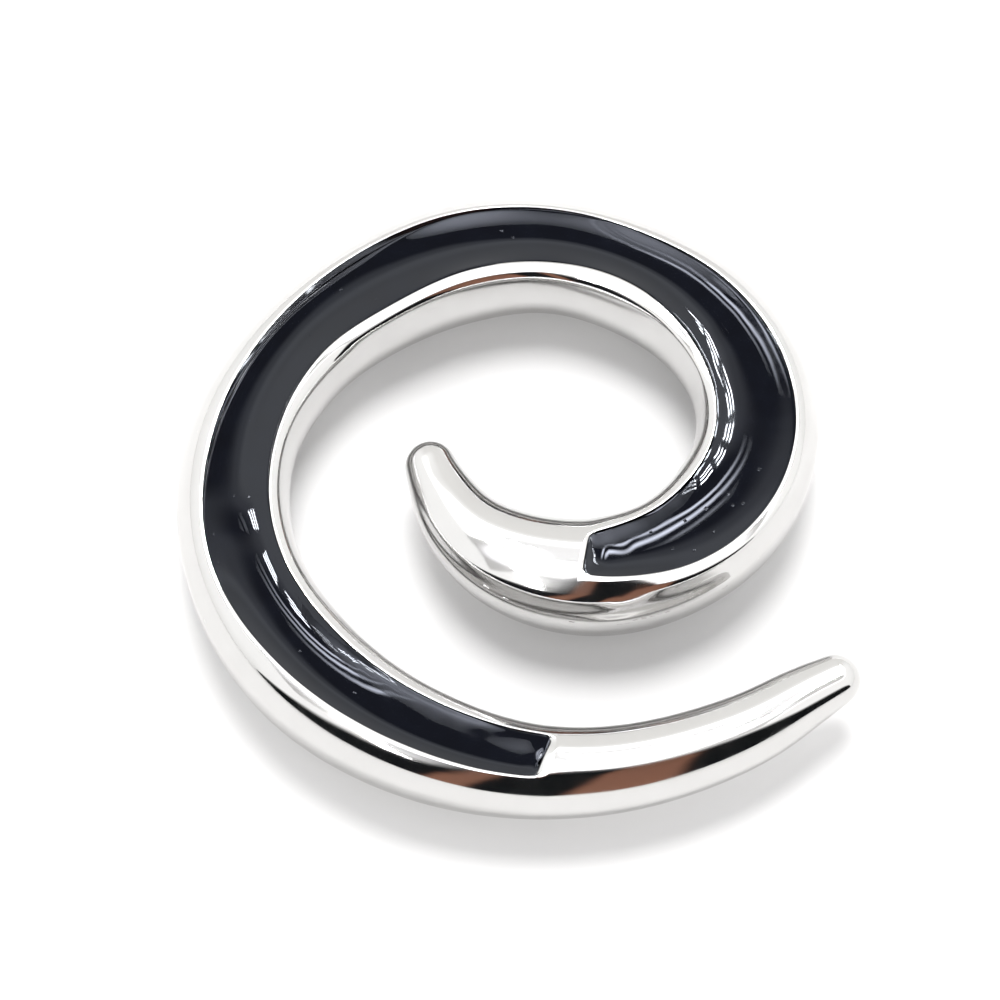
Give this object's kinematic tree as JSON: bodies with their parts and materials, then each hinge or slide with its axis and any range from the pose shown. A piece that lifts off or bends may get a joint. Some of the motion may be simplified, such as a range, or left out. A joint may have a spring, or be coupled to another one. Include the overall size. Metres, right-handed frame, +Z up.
{
  "type": "spiral ear weight",
  "caption": "Flat spiral ear weight: a tapered polished steel rod with rounded tails and a groove of black enamel along its top.",
  "frame": {"origin": "below the middle of the outline, on the surface that the jewel lies on", "axes": "+Z up, out of the enamelled face, square to the flat spiral; +X towards the outer tail's tip as the jewel lies in the picture, +Y away from the viewer"},
  "size_m": [0.052, 0.0529, 0.0094],
  "materials": {
    "polished_steel": "mirror-polished cast stainless steel, with a faint parting line and a few casting pits",
    "black_enamel": "glossy black enamel, poured, with a few pin bubbles"
  },
  "bodies": {
    "root": {"spiral_body": "polished_steel", "enamel_inlay": "black_enamel"}
  },
  "joints": []
}
